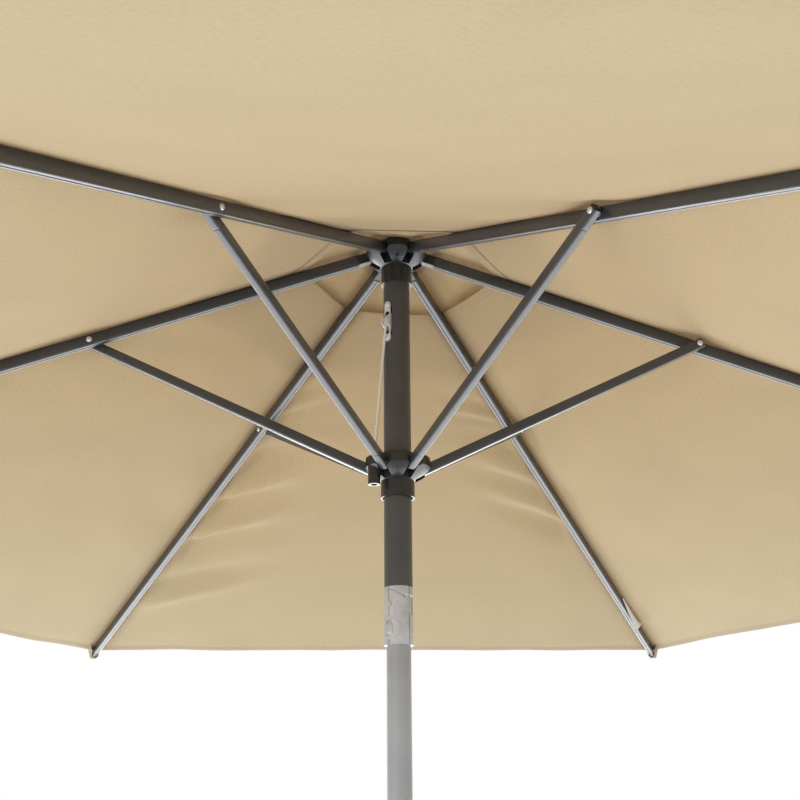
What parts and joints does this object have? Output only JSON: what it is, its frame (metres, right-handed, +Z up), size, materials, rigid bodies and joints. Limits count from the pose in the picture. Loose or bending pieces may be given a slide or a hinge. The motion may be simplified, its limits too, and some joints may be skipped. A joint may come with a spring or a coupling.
{
  "type": "patio umbrella with base",
  "caption": "Six-rib crank-lift patio umbrella with vented cloth canopy, push-button tilt pole, lift cord and a weighted round base",
  "frame": {"origin": "middle of the base's lowest face, on the floor", "axes": "+Z runs up the pole; +X runs outward over rib 1; lift pulley, tilt button and crank face the -X -Y corner"},
  "size_m": [2.507, 2.1712, 2.4008],
  "materials": {
    "canopy_cloth": "woven polyester, matt beige",
    "frame_steel": "dark grey powder coat, slightly glossy",
    "upper_pole_paint": "dark grey powder coat",
    "lower_pole_paint": "grey powder coat, slightly lighter",
    "black_plastic": "black moulded plastic, glossy",
    "tilt_silver": "cast and satin silver",
    "zinc_steel": "bright zinc plate",
    "white_nylon": "white nylon",
    "lift_cord": "braided white cord",
    "base_paint": "dark grey powder coat",
    "rubber_feet": "black rubber"
  },
  "bodies": {
    "base": {"base_plate": "base_paint", "base_feet": "rubber_feet", "base_tube": "base_paint", "base_bolts": "zinc_steel", "base_bush": "black_plastic"},
    "clamp": {"clamp_knob": "black_plastic"},
    "lower": {"lower_pole": "lower_pole_paint", "pole_foot": "black_plastic", "tilt_lower": "tilt_silver", "tilt_pin": "tilt_silver", "button_spring": "zinc_steel", "cord_lower": "lift_cord", "crank_housing": "black_plastic", "housing_screws": "zinc_steel"},
    "button": {"tilt_button": "tilt_silver"},
    "crank": {"crank_spool": "zinc_steel", "crank_arm": "black_plastic"},
    "grip": {"crank_grip": "black_plastic"},
    "upper": {"upper_pole": "upper_pole_paint", "tilt_upper": "tilt_silver", "hub": "black_plastic", "hub_pins": "zinc_steel", "finial": "black_plastic", "pulley_bracket": "zinc_steel", "cap_patch": "canopy_cloth", "cord_outer": "lift_cord", "cord_upper": "lift_cord"},
    "pulley": {"pulley_wheel": "white_nylon"},
    "runner": {"runner": "black_plastic", "cord_knot": "lift_cord"},
    "rib_1": {"rib_1": "frame_steel", "rib_ends_1": "black_plastic", "canopy_1": "canopy_cloth"},
    "strut_1": {"strut_1": "frame_steel", "strut_ends_1": "black_plastic"},
    "rib_2": {"rib_2": "frame_steel", "rib_ends_2": "black_plastic", "canopy_2": "canopy_cloth"},
    "strut_2": {"strut_2": "frame_steel", "strut_ends_2": "black_plastic"},
    "rib_3": {"rib_3": "frame_steel", "rib_ends_3": "black_plastic", "canopy_3": "canopy_cloth"},
    "strut_3": {"strut_3": "frame_steel", "strut_ends_3": "black_plastic"},
    "rib_4": {"rib_4": "frame_steel", "rib_ends_4": "black_plastic", "canopy_4": "canopy_cloth"},
    "strut_4": {"strut_4": "frame_steel", "strut_ends_4": "black_plastic"},
    "rib_5": {"rib_5": "frame_steel", "rib_ends_5": "black_plastic", "canopy_5": "canopy_cloth"},
    "strut_5": {"strut_5": "frame_steel", "strut_ends_5": "black_plastic"},
    "rib_6": {"rib_6": "frame_steel", "rib_ends_6": "black_plastic", "canopy_6": "canopy_cloth"},
    "strut_6": {"strut_6": "frame_steel", "strut_ends_6": "black_plastic"}
  },
  "joints": [
    {"name": "pole_swivel", "type": "hinge", "parent": "base", "child": "lower", "pos_m": [0, 0, 0.2], "axis": [0, 0, 1], "continuous": true},
    {"name": "clamp_turn", "type": "hinge", "parent": "base", "child": "clamp", "pos_m": [-0.04, 0, 0.3], "axis": [-1, 0, 0], "continuous": true},
    {"name": "tilt_hinge", "type": "hinge", "parent": "lower", "child": "upper", "pos_m": [0, 0, 1.786], "axis": [0.7071, 0.7071, 0], "range_deg": [0, 30]},
    {"name": "button_press", "type": "slide", "parent": "lower", "child": "button", "axis": [0.7071, 0.7071, 0], "range_m": [0, 0.003], "stiffness_N_per_m": 400, "springref_m": -0.002, "deforming": ["button_spring"]},
    {"name": "runner_slide", "type": "slide", "parent": "upper", "child": "runner", "axis": [0, 0, 1], "range_m": [-0.5296, 0], "deforming": ["cord_outer", "canopy_1", "canopy_2", "canopy_3", "canopy_4", "canopy_5", "canopy_6"]},
    {"name": "crank_turn", "type": "hinge", "parent": "lower", "child": "crank", "pos_m": [-0.02687, -0.02687, 0.9], "axis": [0.7071, -0.7071, 0], "range_deg": [0, 2521]},
    {"name": "pulley_turn", "type": "hinge", "parent": "upper", "child": "pulley", "pos_m": [-0.00919, -0.00919, 2.192], "axis": [0.7071, -0.7071, 0], "range_deg": [0, 3035]},
    {"name": "grip_turn", "type": "hinge", "parent": "crank", "child": "grip", "pos_m": [0.02899, -0.08273, 0.788], "axis": [0.7071, -0.7071, 0], "continuous": true},
    {"name": "rib_hinge_1", "type": "hinge", "parent": "upper", "child": "rib_1", "pos_m": [0.039, 0, 2.3], "axis": [0, 1, 0], "range_deg": [0, 65.85]},
    {"name": "strut_hinge_1", "type": "hinge", "parent": "rib_1", "child": "strut_1", "pos_m": [0.43564, 0, 2.16188], "axis": [0, 1, 0], "range_deg": [-125.69, 0]},
    {"name": "rib_hinge_2", "type": "hinge", "parent": "upper", "child": "rib_2", "pos_m": [0.0195, 0.03377, 2.3], "axis": [-0.866, 0.5, 0], "range_deg": [0, 65.85]},
    {"name": "strut_hinge_2", "type": "hinge", "parent": "rib_2", "child": "strut_2", "pos_m": [0.21782, 0.37727, 2.16188], "axis": [-0.866, 0.5, 0], "range_deg": [-125.69, 0]},
    {"name": "rib_hinge_3", "type": "hinge", "parent": "upper", "child": "rib_3", "pos_m": [-0.0195, 0.03377, 2.3], "axis": [-0.866, -0.5, 0], "range_deg": [0, 65.85]},
    {"name": "strut_hinge_3", "type": "hinge", "parent": "rib_3", "child": "strut_3", "pos_m": [-0.21782, 0.37727, 2.16188], "axis": [-0.866, -0.5, 0], "range_deg": [-125.69, 0]},
    {"name": "rib_hinge_4", "type": "hinge", "parent": "upper", "child": "rib_4", "pos_m": [-0.039, 0, 2.3], "axis": [0, -1, 0], "range_deg": [0, 65.85]},
    {"name": "strut_hinge_4", "type": "hinge", "parent": "rib_4", "child": "strut_4", "pos_m": [-0.43564, 0, 2.16188], "axis": [0, -1, 0], "range_deg": [-125.69, 0]},
    {"name": "rib_hinge_5", "type": "hinge", "parent": "upper", "child": "rib_5", "pos_m": [-0.0195, -0.03377, 2.3], "axis": [0.866, -0.5, 0], "range_deg": [0, 65.85]},
    {"name": "strut_hinge_5", "type": "hinge", "parent": "rib_5", "child": "strut_5", "pos_m": [-0.21782, -0.37727, 2.16188], "axis": [0.866, -0.5, 0], "range_deg": [-125.69, 0]},
    {"name": "rib_hinge_6", "type": "hinge", "parent": "upper", "child": "rib_6", "pos_m": [0.0195, -0.03377, 2.3], "axis": [0.866, 0.5, 0], "range_deg": [0, 65.85]},
    {"name": "strut_hinge_6", "type": "hinge", "parent": "rib_6", "child": "strut_6", "pos_m": [0.21782, -0.37727, 2.16188], "axis": [0.866, 0.5, 0], "range_deg": [-125.69, 0]}
  ],
  "couplings": [
    {"joint": "crank_turn", "follows": "runner_slide", "rad_per_m": -83.048},
    {"joint": "pulley_turn", "follows": "runner_slide", "rad_per_m": -100},
    {"joint": "rib_hinge_1", "follows": "runner_slide", "rad_per_m": -2.1685},
    {"joint": "strut_hinge_1", "follows": "runner_slide", "rad_per_m": 4.1405},
    {"joint": "rib_hinge_2", "follows": "runner_slide", "rad_per_m": -2.1685},
    {"joint": "strut_hinge_2", "follows": "runner_slide", "rad_per_m": 4.1405},
    {"joint": "rib_hinge_3", "follows": "runner_slide", "rad_per_m": -2.1685},
    {"joint": "strut_hinge_3", "follows": "runner_slide", "rad_per_m": 4.1405},
    {"joint": "rib_hinge_4", "follows": "runner_slide", "rad_per_m": -2.1685},
    {"joint": "strut_hinge_4", "follows": "runner_slide", "rad_per_m": 4.1405},
    {"joint": "rib_hinge_5", "follows": "runner_slide", "rad_per_m": -2.1685},
    {"joint": "strut_hinge_5", "follows": "runner_slide", "rad_per_m": 4.1405},
    {"joint": "rib_hinge_6", "follows": "runner_slide", "rad_per_m": -2.1685},
    {"joint": "strut_hinge_6", "follows": "runner_slide", "rad_per_m": 4.1405}
  ]
}
